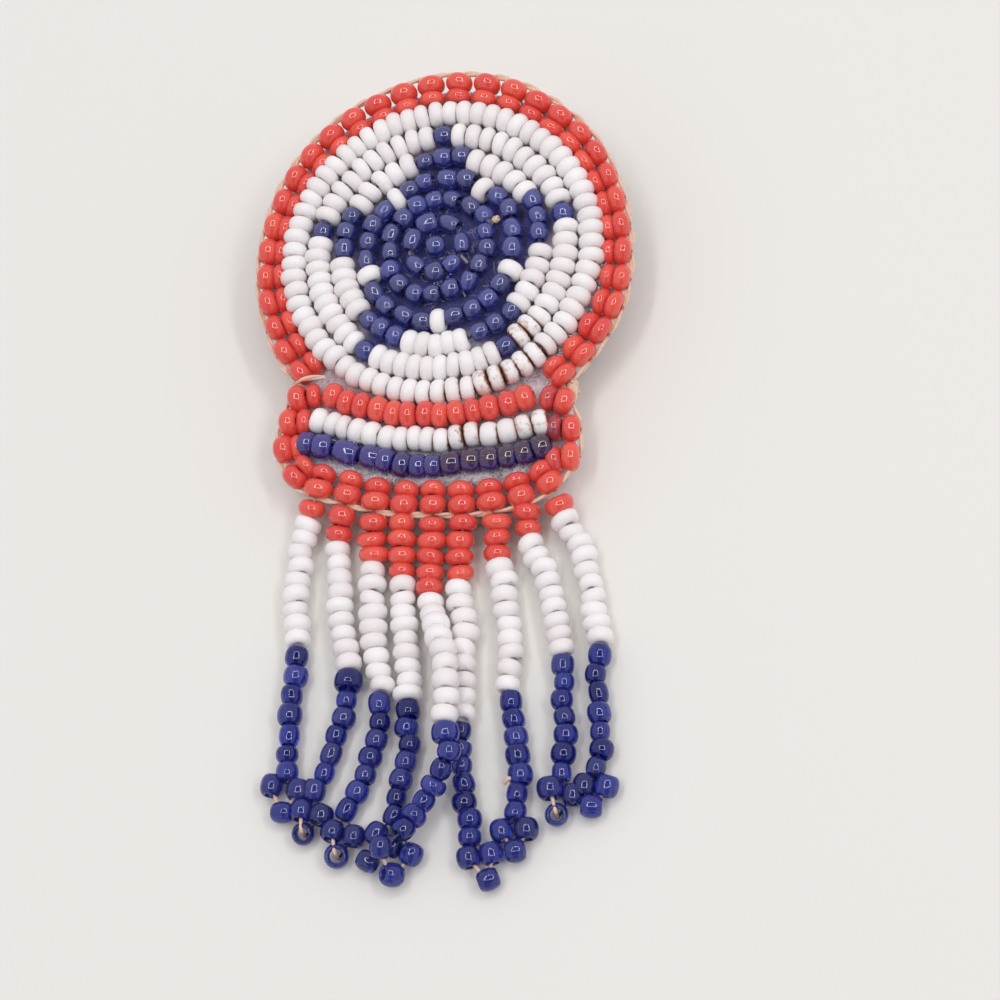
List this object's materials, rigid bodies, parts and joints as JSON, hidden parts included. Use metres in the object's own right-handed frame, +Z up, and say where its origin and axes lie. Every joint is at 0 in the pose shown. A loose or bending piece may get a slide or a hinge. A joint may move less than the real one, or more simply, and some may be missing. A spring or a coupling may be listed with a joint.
{
  "type": "beaded brooch",
  "caption": "Round felt brooch sewn with glass seed beads in a star, with a small lobe, a red bead edge, a short bead fringe and a bar pin; worn pinned to clothing.",
  "frame": {"origin": "on the surface that the brooch lies on, under the middle of its bounding box", "axes": "+Z up, out of the beaded face, which leans back by the height of the pin; +Y from the fringe to the top of the rosette; +X to the right as the face is seen"},
  "size_m": [0.0359, 0.0725, 0.0087],
  "materials": {
    "felt": "off-white wool felt, matt, with loose lint",
    "pin_steel": "nickel-plated steel, lightly tumbled",
    "white_glass": "opaque chalk-white glass, soft gloss, a few brown stains",
    "red_glass": "opaque orange-red glass, high gloss",
    "navy_glass": "deep cobalt glass, clear, high gloss",
    "thread": "tan twisted cotton thread"
  },
  "bodies": {
    "root": {"felt_backing": "felt", "pin_back": "pin_steel", "star": "navy_glass", "star_ground": "white_glass", "outer_ring_beads": "white_glass", "edging_pairs": "red_glass", "lobe_red_row": "red_glass", "lobe_white_row": "white_glass", "lobe_navy_row": "navy_glass", "fringe_red_beads": "red_glass", "strand_1_white": "white_glass", "strand_2_white": "white_glass", "strand_3_white": "white_glass", "strand_4_white": "white_glass", "strand_5_white": "white_glass", "strand_6_white": "white_glass", "strand_7_white": "white_glass", "strand_8_white": "white_glass", "strand_9_white": "white_glass", "strand_1_navy": "navy_glass", "strand_2_navy": "navy_glass", "strand_3_navy": "navy_glass", "strand_4_navy": "navy_glass", "strand_5_navy": "navy_glass", "strand_6_navy": "navy_glass", "strand_7_navy": "navy_glass", "strand_8_navy": "navy_glass", "strand_9_navy": "navy_glass", "fringe_end_beads": "navy_glass"}
  },
  "joints": []
}
